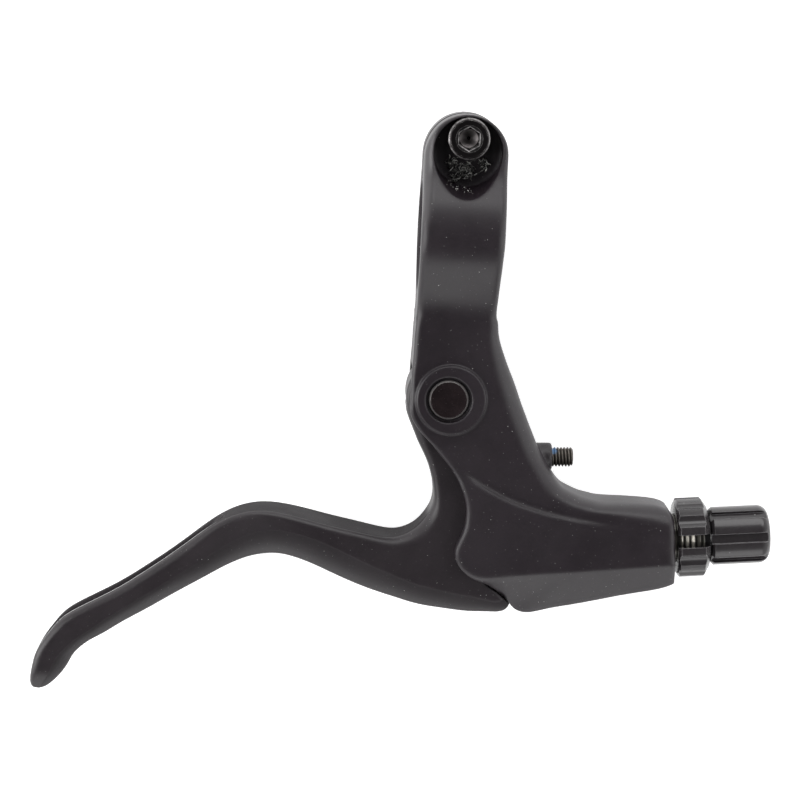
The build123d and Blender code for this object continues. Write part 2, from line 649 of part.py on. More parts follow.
def return_spring():
    """Torsion spring round the pin, one leg in the blade and one against the neck."""
    points = []
    for step in (1.0, 0.66, 0.33):
        points.append((spring_radius, -SPRING_BLADE_LEG * step, -spring_height / 2))
    for index in range(12 * SPRING_TURNS + 1):
        angle = 2 * math.pi * index / 12
        height = spring_pitch * index / 12 - spring_height / 2
        points.append((spring_radius * math.cos(angle), spring_radius * math.sin(angle), height))
    for step in (0.33, 0.66, 1.0):
        points.append((spring_radius, spring_neck_leg * step, spring_height / 2))
    path = Spline(*points)
    profile = Plane(origin=path @ 0, z_dir=path % 0) * Circle(SPRING_WIRE / 2)
    return pivot * sweep(profile, path=path)


def lengthwise_scallops(count, radius, scallop, low, high):
    """Ring of round-bottomed hollows along a knob."""
    cutters = []
    for index in range(count):
        cutters.append(Rot(0, 0, 360 * index / count) * Pos(-radius, 0, 0) * cylinder(scallop, low, high))
    return cutters


def lengthwise_grooves(count, radius, width, depth, low, high):
    """Ring of flat-bottomed grooves along a knob."""
    cutters = []
    for index in range(count):
        groove = block(-radius - 5, depth - radius, -width / 2, width / 2, low, high)
        cutters.append(Rot(0, 0, 360 * index / count) * groove)
    return cutters


def barrel_adjuster():
    """Hollow screw with a grooved head, a housing socket and a cable slot."""
    low = NOSE_LENGTH + LOCK_RING_GAP + LOCK_RING_LENGTH + HEAD_GAP
    high = low + ADJUSTER_HEAD_LENGTH
    radius = ADJUSTER_HEAD_DIAMETER / 2
    head = cylinder(radius, low, high)
    head = fillet(head.edges().group_by(Axis.Z)[-1], 2.2)
    head = chamfer(head.edges().group_by(Axis.Z)[0], 0.8)
    head -= lengthwise_grooves(
        ADJUSTER_GROOVE_COUNT, radius, ADJUSTER_GROOVE_WIDTH, ADJUSTER_GROOVE_DEPTH, low - 1, high + 1
    )
    shank = cylinder(ADJUSTER_THREAD / 2, low - ADJUSTER_THREAD_LENGTH, low)
    shank = chamfer(shank.edges().group_by(Axis.Z)[0], 0.6)
    socket = cylinder(HOUSING_DIAMETER / 2 + HOUSING_CLEARANCE, high - HOUSING_DEPTH, high + 5)
    way = cylinder(CABLE_HOLE / 2, low - 40, high)
    slot = block(0, 20, -CABLE_HOLE / 2, CABLE_HOLE / 2, low - 40, high + 5)
    return cable_line * Rot(0, 0, ADJUSTER_TURN) * (head + shank - socket - way - slot)


def lock_ring():
    """Ring nut on the adjuster's thread with hollows round it and a cable slot."""
    low = NOSE_LENGTH + LOCK_RING_GAP
    high = low + LOCK_RING_LENGTH
    wide = LOCK_RING_DIAMETER / 2
    edge = [
        (0, low), (wide - LOCK_RING_BEVEL * 0.55, low), (wide, low + LOCK_RING_BEVEL * 0.3),
        (wide, high - LOCK_RING_BEVEL * 0.65), (wide - LOCK_RING_BEVEL, high), (0, high),
    ]
    ring = revolve(make_face(Plane.XZ * Polyline(*edge, close=True)), Axis.Z)
    ring -= lengthwise_scallops(LOCK_RING_FLAT_COUNT, LOCK_RING_DIAMETER / 2 + 1.6, 2.1, low - 1, high + 1)
    ring -= cylinder(ADJUSTER_THREAD / 2 + THREAD_CLEARANCE, low - 1, high + 1)
    ring -= block(-20, 0, -LOCK_RING_SLOT / 2, LOCK_RING_SLOT / 2, low - 1, high + 1)
    return cable_line * Rot(0, 0, RING_TURN) * ring


def reach_screw():
    """Set screw that the blade rests on."""
    screw = cylinder(REACH_DIAMETER / 2, REACH_TIP, REACH_END)
    screw = chamfer(screw.edges(), 0.4)
    return reach_line * (screw - hex_socket(REACH_HEX, REACH_END - 2.2, REACH_END + 1))


def main():
    os.makedirs("parts", exist_ok=True)
    pieces = {
        "lever_body": lever_body(),
        "lever_blade": lever_blade(),
        "pivot_pin": pivot_pin(),
        "pivot_screw": pivot_screw(),
        "upper_bush": pivot_bush(1),
        "lower_bush": pivot_bush(-1),
        "return_spring": return_spring(),
        "clamp_bolt": clamp_bolt(),
        "barrel_adjuster": barrel_adjuster(),
        "lock_ring": lock_ring(),
        "reach_screw": reach_screw(),
    }
    for node, piece in pieces.items():
        export_step(piece, "parts/" + node + ".step")


main()
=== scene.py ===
import bpy
import json
import math
import random
from mathutils import Euler, Matrix, Vector


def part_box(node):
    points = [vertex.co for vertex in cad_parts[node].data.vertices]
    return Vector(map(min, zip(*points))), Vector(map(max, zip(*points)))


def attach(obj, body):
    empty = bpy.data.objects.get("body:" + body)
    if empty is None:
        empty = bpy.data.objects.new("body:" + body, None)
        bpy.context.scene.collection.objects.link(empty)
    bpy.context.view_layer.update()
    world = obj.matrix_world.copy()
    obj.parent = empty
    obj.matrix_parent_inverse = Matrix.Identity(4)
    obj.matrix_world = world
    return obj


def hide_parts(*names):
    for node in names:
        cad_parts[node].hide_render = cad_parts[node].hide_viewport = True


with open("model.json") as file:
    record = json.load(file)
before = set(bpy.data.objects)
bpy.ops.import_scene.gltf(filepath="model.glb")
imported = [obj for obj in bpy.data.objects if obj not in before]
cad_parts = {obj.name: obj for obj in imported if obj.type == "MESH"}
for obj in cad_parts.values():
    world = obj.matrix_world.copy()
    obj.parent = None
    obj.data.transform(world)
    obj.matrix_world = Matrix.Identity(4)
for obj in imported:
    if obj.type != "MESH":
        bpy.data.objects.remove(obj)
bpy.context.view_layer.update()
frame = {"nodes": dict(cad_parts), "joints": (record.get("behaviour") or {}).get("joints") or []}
nodes = frame["nodes"]
joints = {joint["name"]: joint for joint in frame["joints"]}
MM = 0.001

# Places taken from the part itself
pivot_point = tuple(joints["lever_pull"]["pos_m"])
cable_point = tuple(joints["ring_turn"]["pos_m"])
cable_axis = tuple(Vector(joints["ring_turn"]["axis"]).normalized())
reach_axis = Vector(joints["reach_slide"]["axis"]).normalized()
bolt_low, bolt_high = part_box("clamp_bolt")
bolt_centre = (bolt_low + bolt_high) / 2
bolt_axis = (bolt_centre.x, bolt_centre.y, 0)

# Bolt and pin: inner and outer radius of their rings of painted highlight, and depths below the bolt's
# top
BOLT_HEAD_HEIGHT = 5.0 * MM
BOLT_KNURLS = 44
BOLT_RIM_BAND = (3.80 * MM, 4.30 * MM)
BOLT_MOUTH_BAND = (2.60 * MM, 2.74 * MM)
BOLT_FLOOR_BAND = (0.30 * MM, 1.86 * MM)
BOLT_HEXAGON = (1.93 * MM, 1.99 * MM, 2.12 * MM, 2.20 * MM)
BOLT_RIM_DEPTH = 0.8 * MM
BOLT_SOCKET_DEPTH = 2.3 * MM
PIN_CHAMFER_BAND = (3.60 * MM, 4.10 * MM)
PIN_CHAMFER_HEIGHT = (7.5 * MM, 7.8 * MM)

# Bolt's pocket: its middle lies below the bolt, and its lower half is stretched
POCKET_RADIUS = 6.9 * MM
POCKET_DROP = 2.6 * MM
POCKET_STRETCH = 2.3 * MM
SLOPE_HEIGHT = 7.2 * MM
POCKET_HEIGHT = (3 * MM, 4 * MM)
pocket_floor = bolt_high.z - BOLT_HEAD_HEIGHT

# Body: the raised ring round the pin, and the ear's left rim as seen from the pocket's middle
RAISED_RING = (8.6 * MM, 10.0 * MM)
EAR_HEIGHT = (6 * MM, 8 * MM)
EAR_RUN = (-16 * MM, -7 * MM)
EAR_LEFT = (-1.0 * MM, -4.0 * MM)
EAR_RIM = (6.0 * MM, 7.5 * MM)

# Blade: half widths, where along X or Y one form goes over into the next, and how its front faces
FINGER_HALF = 5.03 * MM
BEND_HALF = 6.8 * MM
ROOT_HALF = 5.7 * MM
FINGER_TO_BEND = (-52 * MM, -28 * MM)
BEND_TO_ROOT = (-16 * MM, 9 * MM)
TIP_TO_FINGER = (-60 * MM, -40 * MM)
CRISP_TO_SOFT = (-34 * MM, -18 * MM)
EYE_TO_FRONT = (-50 * MM, -55 * MM)
FRONT_FACING = (0.55, -0.83, 0.0)
GROOVE_RUN = (-86 * MM, -82 * MM, -52 * MM, -46 * MM)
GROOVE_LIP = (2.52 * MM, 2.60 * MM, 3.0 * MM, 3.3 * MM)

# Adjuster: its bare thread, and its groove floors and hidden inside that get painted shade, by
# distance from the cable's line and along it
SHANK = (4.0 * MM, 4.2 * MM, 4.97 * MM, 4.99 * MM)
SHANK_RUN = (-12.0 * MM, -11.5 * MM, 4.0 * MM, 4.3 * MM)
HALF_TURN = 0.6 * MM
INSIDE = (5.7 * MM, 5.4 * MM)
INSIDE_RUN = (6.0 * MM, 5.5 * MM)

# Reach screw
REACH_DIAMETER = 4.0 * MM
REACH_CREST = 1.99 * MM
REACH_ROOT = 1.58 * MM
REACH_PITCH = 0.66 * MM
REACH_KEY = 2.0 * MM
REACH_KEY_DEPTH = 2.2 * MM
REACH_CHAMFER = 0.4 * MM
REACH_SHOWN = 4.0 * MM
DAB_LENGTH = 1.5 * MM

# Roughness of the coat, and colours in linear light
COAT_ROUGHNESS = 0.42
BODY_DARK = (0.0080, 0.0047, 0.0074)
BODY_PALE = (0.0128, 0.0082, 0.0119)
POCKET_PAINTED_SHADE = (0.0020, 0.0013, 0.0018)
BLADE_DARK = (0.0086, 0.0055, 0.0077)
BLADE_PALE = (0.0138, 0.0094, 0.0124)
BLADE_PAINTED_SHADE = (0.003, 0.002, 0.0026)
BLADE_PAINTED_HIGHLIGHT = (0.55, 0.55, 0.55)
COAT_HAZE = (0.058, 0.054, 0.056)
COAT_DUST = (0.40, 0.40, 0.39)
GLOSS_DARK = (0.021, 0.018, 0.020)
GLOSS_PALE = (0.029, 0.026, 0.028)
GLOSS_PAINTED_SHADE = (0.004, 0.0034, 0.004)
GLOSS_PAINTED_HIGHLIGHT = (0.26, 0.25, 0.26)
GLOSS_DUST = (0.5, 0.5, 0.5)
THREAD_ROOT = (0.03, 0.028, 0.025)
THREAD_CREST_HIGHLIGHT = (0.72, 0.68, 0.60)
STEEL_DUST = (0.4, 0.4, 0.4)
BOLT_DARK = (0.010, 0.0085, 0.009)
BOLT_RUBBED = (0.45, 0.44, 0.42)
BOLT_PAINTED_HIGHLIGHT = (0.22, 0.21, 0.21)
BOLT_SOCKET_PAINTED_SHADE = (0.004, 0.0035, 0.0035)
BOLT_FLOOR_PAINTED_HIGHLIGHT = (0.24, 0.22, 0.22)
PIN_DARK = (0.025, 0.0175, 0.019)
PIN_RUBBED = (0.3, 0.3, 0.29)
PIN_GRAIN = (0.16, 0.13, 0.135)
PIN_CHAMFER_HIGHLIGHT = (0.52, 0.50, 0.49)
PIVOT_SCREW_DARK = (0.04, 0.04, 0.04)
PIVOT_SCREW_RUBBED = (0.5, 0.5, 0.48)
SPRING_DARK = (0.30, 0.30, 0.29)
SPRING_RUBBED = (0.6, 0.6, 0.6)
BUSH_DARK = (0.06, 0.06, 0.06)
BUSH_PALE = (0.09, 0.09, 0.09)
REACH_DARK = (0.030, 0.026, 0.023)
REACH_CREST_HIGHLIGHT = (0.15, 0.135, 0.12)
REACH_PATCH = (0.09, 0.08, 0.07)
LOCKER_BLUE = (0.10, 0.20, 0.36)
LUMP_DARK = (0.010, 0.009, 0.008)
LUMP_LINT = (0.07, 0.07, 0.065)
STRING_DARK = (0.03, 0.03, 0.028)
STRING_LINT = (0.34, 0.34, 0.32)
CRUMB_DARK = (0.30, 0.30, 0.29)
CRUMB_PALE = (0.85, 0.85, 0.80)
FLOOR_WHITE = (0.86, 0.86, 0.86)

# Camera: what it looks at, from how far, and its turn about X, Y and Z in degrees
LOOK_AT = Vector((-10.601, -33.935, 0)) * MM
CAMERA_DISTANCE = 500 * MM
CAMERA_TURN = (-8.9984, -1.1, 3.0)
CAMERA_LENS = 110.84
CAMERA_SENSOR = 36.0
CAMERA_REACH = 20

# Room: light of walls and ceiling, the floor, and each lamp's name, place, size and power
WALL_LIGHT = 1.05
CEILING_LIGHT = 0.12
FLOOR_SIZE = 8
FLOOR_HEIGHT = -16.0 * MM
FLOOR_GLOW = 0.56
LAMP_TARGET = (0, -0.04, 0)
LAMPS = (
    ("back_lamp", (0.1, 0.75, 0.42), (1.2, 0.45), 4.6),
    ("left_lamp", (-0.8, -0.05, 0.40), (0.45, 1.1), 7.0),
    ("right_lamp", (0.8, -0.05, 0.40), (0.45, 1.1), 2.4),
    ("front_lamp", (-0.1, -0.80, 0.34), (1.2, 0.40), 2.1),
)


# Small helpers for shader nodes
class Graph:
    """Adds and joins the nodes of one material or node group."""

    def __init__(self, tree):
        self.tree = tree

    def add(self, kind, settings=None, **inputs):
        """New node with its settings and inputs."""
        node = self.tree.nodes.new("ShaderNode" + kind)
        for name, value in (settings or {}).items():
            setattr(node, name, value)
        for name, value in inputs.items():
            self.put(node, name, value)
        return node

    def put(self, node, name, value):
        """Joins a socket to an input, or sets the input to a value; a number stands for its place."""
        socket = node.inputs[int(name)] if name.isdigit() else node.inputs[name]
        if isinstance(value, bpy.types.NodeSocket):
            self.tree.links.new(value, socket)
        else:
            socket.default_value = value

    def math(self, operation, first, second=None):
        node = self.add("Math", {"operation": operation})
        self.put(node, "0", first)
        if second is not None:
            self.put(node, "1", second)
        return node.outputs[0]

    def product(self, *values):
        """All values multiplied together."""
        result = values[0]
        for value in values[1:]:
            result = self.math("MULTIPLY", result, value)
        return result

    def mixture(self, *shares):
        """Sum of values, each times its weight."""
        total = 0.0
        for value, weight in shares:
            total = self.math("ADD", self.math("MULTIPLY", value, weight), total)
        return total

    def vector(self, operation, first, second=None):
        node = self.add("VectorMath", {"operation": operation})
        self.put(node, "0", first)
        if second is not None:
            self.put(node, "1", second)
        return node.outputs["Value" if operation in ("DOT_PRODUCT", "LENGTH") else "Vector"]

    def scaled(self, vector, factor):
        """Vector times a number."""
        node = self.add("VectorMath", {"operation": "SCALE"}, Scale=factor)
        self.put(node, "0", vector)
        return node.outputs["Vector"]

    def level(self, vector):
        """Vector without its height."""
        return self.vector("MULTIPLY", vector, (1, 1, 0))

    def parts(self, vector):
        """X, Y and Z of a vector."""
        return self.add("SeparateXYZ", Vector=vector).outputs

    def noise(self, place, scale, detail=3.0, roughness=0.5):
        node = self.add("TexNoise", Vector=place, Scale=scale, Detail=detail, Roughness=roughness)
        return node.outputs["Fac"]

    def between(self, value, low, high, to_low=0.0, to_high=1.0):
        """Value moved from one range to another, held at the ends, with soft shoulders."""
        node = self.add("MapRange", {"interpolation_type": "SMOOTHSTEP"}, Value=value)
        self.put(node, "From Min", low)
        self.put(node, "From Max", high)
        self.put(node, "To Min", to_low)
        self.put(node, "To Max", to_high)
        return node.outputs["Result"]

    def within(self, value, start, full, end, gone):
        """1 from full to end, fading to 0 at start and at gone."""
        return self.product(self.between(value, start, full), self.between(value, gone, end))

    def blend(self, share, first, second):
        """Colour between two others, each a socket or red, green and blue."""
        node = self.add("Mix", {"data_type": "RGBA"})
        self.put(node, "0", share)
        for socket, colour in (("6", first), ("7", second)):
            self.put(node, socket, (*colour, 1) if isinstance(colour, tuple) else colour)
        return node.outputs[2]

    def blend_vectors(self, share, first, second):
        """Vector between two others."""
        node = self.add("Mix", {"data_type": "VECTOR"})
        for socket, value in (("0", share), ("4", first), ("5", second)):
            self.put(node, socket, value)
        return node.outputs[1]

    def bump(self, height, strength, distance, normal):
        node = self.add("Bump", Height=height, Strength=strength, Distance=distance, Normal=normal)
        return node.outputs["Normal"]


def group_tree(name, inputs, outputs):
    """Empty node group with named inputs and outputs."""
    tree = bpy.data.node_groups.new(name, "ShaderNodeTree")
    for label, kind in inputs.items():
        tree.interface.new_socket(name=label, in_out="INPUT", socket_type="NodeSocket" + kind)
    for label, kind in outputs.items():
        tree.interface.new_socket(name=label, in_out="OUTPUT", socket_type="NodeSocket" + kind)
    enter = tree.nodes.new("NodeGroupInput").outputs
    leave = tree.nodes.new("NodeGroupOutput")
    return tree, Graph(tree), enter, leave


def dust_specks():
    """Fine pale specks, each a little ball of dust cut by the surface."""
    tree, g, enter, leave = group_tree(
        "dust_specks", {"Place": "Vector", "Spacing": "Float", "Size": "Float"}, {"Mask": "Float"}
    )
    cells = g.add("TexVoronoi", Vector=enter["Place"], Scale=enter["Spacing"]).outputs
    pick = g.add("SeparateColor", Color=cells["Color"]).outputs
    size = g.math("MULTIPLY", enter["Size"], g.between(pick["Red"], 0.0, 1.0, 0.35, 1.25))
    speck = g.between(g.math("SUBTRACT", size, cells["Distance"]), 0.0, 0.02)
    thin = g.between(pick["Green"], 0.2, 1.0, 0.3, 1.0)
    g.put(leave, "Mask", g.math("MULTIPLY", speck, thin))
    return tree


def matte_coat():
    """Sprayed coat: faint mottle, hand smudges in the sheen, and a fine grain."""
    tree, g, enter, leave = group_tree(
        "matte_coat",
        {"Place": "Vector", "Rounding": "Float"},
        {"Tone": "Float", "Sheen": "Float", "Normal": "Vector"},
    )
    mottle = g.noise(enter["Place"], 260.0, 4.0, 0.6)
    smudge = g.noise(enter["Place"], 55.0, 3.0, 0.55)
    grain = g.noise(enter["Place"], 3800.0, 2.0, 0.6)
    speckle = g.noise(enter["Place"], 1900.0, 2.0, 0.7)
    tone = g.mixture((mottle, 0.35), (smudge, 0.35), (speckle, 0.3))
    g.put(leave, "Tone", g.between(tone, 0.36, 0.64))
    sheen = g.mixture((smudge, 0.7), (grain, 0.3))
    g.put(leave, "Sheen", g.between(sheen, 0.3, 0.7))
    rounded = g.add("Bevel", {"samples": 8}, Radius=enter["Rounding"]).outputs["Normal"]
    g.put(leave, "Normal", g.bump(grain, 0.22, 0.04 * MM, rounded))
    return tree


def soft_front():
    """Turns the blade's front bevel into a full rounding, and leaves the given normal elsewhere."""
    tree, g, enter, leave = group_tree(
        "soft_front", {"Place": "Vector", "Normal": "Vector"}, {"Normal": "Vector"}
    )
    spot = g.parts(enter["Place"])
    widening = g.between(spot["X"], *FINGER_TO_BEND, FINGER_HALF, BEND_HALF)
    narrowing = g.between(spot["X"], *BEND_TO_ROOT, 0.0, BEND_HALF - ROOT_HALF)
    half_width = g.math("SUBTRACT", widening, narrowing)
    down = g.math("SUBTRACT", 1.0, g.math("DIVIDE", g.math("ABSOLUTE", spot["Z"]), half_width))
    down = g.math("MINIMUM", g.math("MAXIMUM", down, 0.0), 1.0)
    bow = g.between(spot["X"], *TIP_TO_FINGER, 0.85, 1.6)
    lean = g.math("ADD", 0.20, g.math("MULTIPLY", g.math("POWER", down, bow), 0.78))
    upright = g.math("SQRT", g.math("SUBTRACT", 1.0, g.math("MULTIPLY", lean, lean)))
    flat = g.level(g.add("NewGeometry").outputs["Normal"])
    outward = g.vector("NORMALIZE", flat)
    side_up = g.math("MULTIPLY", upright, g.math("SIGN", spot["Z"]))
    up = g.add("CombineXYZ", Z=side_up).outputs["Vector"]
    rounded = g.vector("ADD", g.scaled(outward, lean), up)
    front = g.between(g.vector("DOT_PRODUCT", outward, FRONT_FACING), 0.15, 0.4)
    leaning = g.between(g.vector("LENGTH", flat), 0.12, 0.3)
    clear_of_eye = g.between(spot["Y"], *EYE_TO_FRONT)
    share = g.product(front, leaning, clear_of_eye)
    g.put(leave, "Normal", g.blend_vectors(share, enter["Normal"], rounded))
    return tree


def edge_wear():
    """Sharp edges, found by how far a rounded normal turns away, and the broken wear along them."""
    tree, g, enter, leave = group_tree(
        "edge_wear", {"Place": "Vector", "Width": "Float"}, {"Mask": "Float", "Edge": "Float"}
    )
    rounded = g.add("Bevel", {"samples": 4}, Radius=enter["Width"]).outputs["Normal"]
    turn = g.vector("DOT_PRODUCT", rounded, g.add("NewGeometry").outputs["Normal"])
    edge = g.between(turn, 0.97, 0.80)
    broken = g.between(g.noise(enter["Place"], 900.0, 3.0, 0.6), 0.42, 0.62)
    g.put(leave, "Mask", g.math("MULTIPLY", edge, broken))
    g.put(leave, "Edge", edge)
    return tree


def round_band():
    """Shares of a ring and of a disc round an upright axis, and the distance from that axis."""
    tree, g, enter, leave = group_tree(
        "round_band",
        {"Place": "Vector", "Axis": "Vector", "Inner": "Float", "Outer": "Float"},
        {"Ring": "Float", "Disc": "Float", "Far": "Float"},
    )
    sharpness = 12000.0
    from_axis = g.vector("SUBTRACT", enter["Place"], enter["Axis"])
    far = g.vector("LENGTH", g.level(from_axis))
    past_inner = g.math("MULTIPLY", g.math("SUBTRACT", far, enter["Inner"]), sharpness)
    before_outer = g.math("MULTIPLY", g.math("SUBTRACT", enter["Outer"], far), sharpness)
    disc = g.between(before_outer, 0.0, 1.0)
    g.put(leave, "Ring", g.math("MULTIPLY", g.between(past_inner, 0.0, 1.0), disc))
    g.put(leave, "Disc", disc)
    g.put(leave, "Far", far)
    return tree


GROUPS = {
    "dust_specks": dust_specks(),
    "matte_coat": matte_coat(),
    "soft_front": soft_front(),
    "edge_wear": edge_wear(),
    "round_band": round_band(),
}


def new_material(name):
    """Material with one principled shader, its graph and the object's own coordinates."""
    material = bpy.data.materials.new(name)
    material.use_nodes = True
    g = Graph(material.node_tree)
    shader = material.node_tree.nodes["Principled BSDF"]
    place = g.add("TexCoord").outputs["Object"]
    return material, g, shader, place


def use_group(g, name, **inputs):
    """Puts a node group in a graph and gives its outputs."""
    node = g.add("Group")
    node.node_tree = GROUPS[name]
    for label, value in inputs.items():
        g.put(node, label, value)
    return node.outputs


def ring_round(g, place, axis, band):
    """Ring, disc and distance round an upright axis, for an inner and an outer radius."""
    inner, outer = band
    return use_group(g, "round_band", Place=place, Axis=axis, Inner=inner, Outer=outer)


def drawn(shader, name):
    """What is joined to a socket of the shader so far."""
    return shader.inputs[name].links[0].from_socket


# Coats of body and blade
def painted(name, dark, pale, rough, specks, rounding=None):
    """Matte coat with dust on it; rounding gives the softness of the edges at a place."""
    material, g, shader, place = new_material(name)
    softness = rounding(g, place) if rounding else 0.15 * MM
    coat = use_group(g, "matte_coat", Place=place, Rounding=softness)
    dust = use_group(g, "dust_specks", Place=place, Size=specks, Spacing=900.0)["Mask"]
    haze = use_group(g, "dust_specks", Place=place, Size=0.13, Spacing=1250.0)["Mask"]
    tone = g.blend(haze, g.blend(coat["Tone"], dark, pale), COAT_HAZE)
    g.put(shader, "Base Color", g.blend(dust, tone, COAT_DUST))
    g.put(shader, "Roughness", g.between(coat["Sheen"], 0.0, 1.0, rough - 0.03, rough + 0.05))
    g.put(shader, "Normal", coat["Normal"])
    return material, g, shader, place


def body_rounding(g, place):
    """Soft edges all over the body, crisper at the raised ring round the pin."""
    from_pin = use_group(g, "round_band", Place=place, Axis=pivot_point)["Far"]
    return g.between(from_pin, *RAISED_RING, 0.6 * MM, 1.4 * MM)


def blade_rounding(g, place):
    """Crisp edges on the finger part, softer ones at the root."""
    return g.between(g.parts(place)["X"], *CRISP_TO_SOFT, 0.5 * MM, 1.3 * MM)


def pocket_shade(g, spot):
    """Share of painted shade in the bolt's pocket, most on its floor."""
    lower_half = g.math("LESS_THAN", spot["Y"], 0.0)
    tall = g.math("ADD", POCKET_RADIUS, g.math("MULTIPLY", lower_half, POCKET_STRETCH))
    across = g.math("POWER", g.math("DIVIDE", spot["X"], POCKET_RADIUS), 2.0)
    along = g.math("POWER", g.math("DIVIDE", spot["Y"], tall), 2.0)
    from_middle = g.math("SQRT", g.math("ADD", across, along))
    pocket = g.product(g.between(from_middle, 1.0, 0.88), g.between(spot["Z"], *POCKET_HEIGHT))
    slope = g.between(from_middle, 0.62, 0.80)
    return g.product(pocket, g.between(slope, 0.0, 1.0, 0.45, 0.25))


def left_rim(g, spot):
    """How far the surface leans out at the rounded left rim of the ear, as a share and a vector."""
    on_ear = g.product(
        g.between(spot["Z"], *EAR_HEIGHT),
        g.between(spot["Y"], *EAR_RUN),
        g.between(spot["X"], *EAR_LEFT),
    )
    rise = g.math("MAXIMUM", g.math("SUBTRACT", spot["Y"], POCKET_DROP), 0.0)
    spoke = g.add("CombineXYZ", X=spot["X"], Y=rise).outputs["Vector"]
    tilt = g.product(g.between(g.vector("LENGTH", spoke), *EAR_RIM, 0.0, 0.75), on_ear)
    return tilt, g.scaled(g.vector("NORMALIZE", spoke), tilt)


def body_coat():
    """Coat of the body, with painted shade inside the bolt's pocket, and rounded at the ear's left
    rim.
    """
    material, g, shader, place = painted(
        "body_coat", BODY_DARK, BODY_PALE, COAT_ROUGHNESS, specks=0.070, rounding=body_rounding
    )
    pocket_middle = (bolt_centre.x, bolt_centre.y - POCKET_DROP, 0)
    spot = g.parts(g.vector("SUBTRACT", place, pocket_middle))
    shade = pocket_shade(g, spot)
    tilt, lean = left_rim(g, spot)
    # Painted shade: the coat is darkened towards near black inside the bolt's pocket.
    g.put(shader, "Base Color", g.blend(shade, drawn(shader, "Base Color"), POCKET_PAINTED_SHADE))
    sheen = g.math("SUBTRACT", 0.5, g.math("MULTIPLY", shade, 0.44))
    g.put(shader, "Specular IOR Level", g.math("ADD", sheen, g.math("MULTIPLY", tilt, 0.6)))
    turned = g.vector("ADD", drawn(shader, "Normal"), lean)
    g.put(shader, "Normal", g.vector("NORMALIZE", turned))
    return material


def blade_coat():
    """Coat of the blade: rounded front, and at low angles a dull bar side with painted shade and a
    painted highlight on the groove lip.
    """
    material, g, shader, place = painted(
        "blade_coat", BLADE_DARK, BLADE_PALE, COAT_ROUGHNESS, specks=0.062, rounding=blade_rounding
    )
    rounded = g.add("Bevel", {"samples": 8}, Radius=blade_rounding(g, place)).outputs["Normal"]
    facing = g.parts(rounded)
    spot = g.parts(place)
    low_angle = g.add("LayerWeight").outputs["Facing"]
    to_bar = g.between(facing["Y"], 0.3, 0.6)
    dull = g.product(to_bar, g.between(facing["Z"], 0.45, 0.15), g.between(low_angle, 0.45, 0.75))
    lip = g.product(g.within(spot["Z"], *GROOVE_LIP), g.within(spot["X"], *GROOVE_RUN))
    lip = g.product(lip, to_bar, g.between(low_angle, 0.30, 0.55))
    g.put(shader, "Specular IOR Level", g.between(dull, 0.0, 1.0, 0.5, 0.025))
    # Painted shade: the bar side is darkened where it is seen at a low angle.
    tone = g.blend(g.math("MULTIPLY", dull, 0.4), drawn(shader, "Base Color"), BLADE_PAINTED_SHADE)
    # Painted highlight: the groove lip is lightened where it is seen at a low angle.
    g.put(shader, "Base Color", g.blend(g.math("MULTIPLY", lip, 0.8), tone, BLADE_PAINTED_HIGHLIGHT))
    soft = use_group(g, "soft_front", Place=place, Normal=drawn(shader, "Normal"))
    g.put(shader, "Normal", soft["Normal"])
    return material


# Finishes of the small parts
def along_cable(g, place):
    """Distance along the cable's line and distance from it."""
    from_point = g.vector("SUBTRACT", place, cable_point)
    run = g.vector("DOT_PRODUCT", from_point, cable_axis)
    off_line = g.vector("LENGTH", g.vector("CROSS_PRODUCT", from_point, cable_axis))
    return run, off_line


def glossy_black():
    """Glossy anodised black with painted highlights on its edges and painted shade in its groove
    floors and hidden inside, and the bare thread where the shank shows, its crests painted bright as
    highlights.
    """
    material, g, shader, place = new_material("adjuster_gloss")
    run, off_line = along_cable(g, place)
    thread = g.product(g.within(off_line, *SHANK), g.within(run, *SHANK_RUN))
    # Crests of the bare thread, painted bright as highlights and fading towards both ends
    crest = g.product(
        g.between(g.math("PINGPONG", run, HALF_TURN), 0.10 * MM, 0.50 * MM),
        g.between(run, 2.6 * MM, 1.4 * MM, 0.22, 1.0),
        g.between(run, -1.0 * MM, -0.3 * MM, 0.10, 1.0),
    )
    coat = use_group(g, "matte_coat", Place=place, Rounding=0.30 * MM)
    dust = use_group(g, "dust_specks", Place=place, Size=0.055, Spacing=620.0)["Mask"]
    edge_mark = use_group(g, "edge_wear", Place=place, Width=0.22 * MM)["Edge"]
    # Painted shade on the groove floors and the hidden inside
    inside = g.product(g.between(off_line, *INSIDE), g.between(run, *INSIDE_RUN))
    black = g.blend(coat["Tone"], GLOSS_DARK, GLOSS_PALE)
    black = g.blend(inside, black, GLOSS_PAINTED_SHADE)
    # Painted highlight along every sharp edge
    black = g.blend(g.math("MULTIPLY", edge_mark, 0.7), black, GLOSS_PAINTED_HIGHLIGHT)
    bare = g.blend(crest, THREAD_ROOT, THREAD_CREST_HIGHLIGHT)
    g.put(shader, "Base Color", g.blend(dust, g.blend(thread, black, bare), GLOSS_DUST))
    g.put(shader, "Metallic", g.math("MULTIPLY", thread, 0.6))
    g.put(shader, "Roughness", g.between(coat["Sheen"], 0.0, 1.0, 0.13, 0.21))
    groove = g.math("MULTIPLY", crest, thread)
    g.put(shader, "Normal", g.bump(groove, 0.9, 0.3 * MM, coat["Normal"]))
    return material


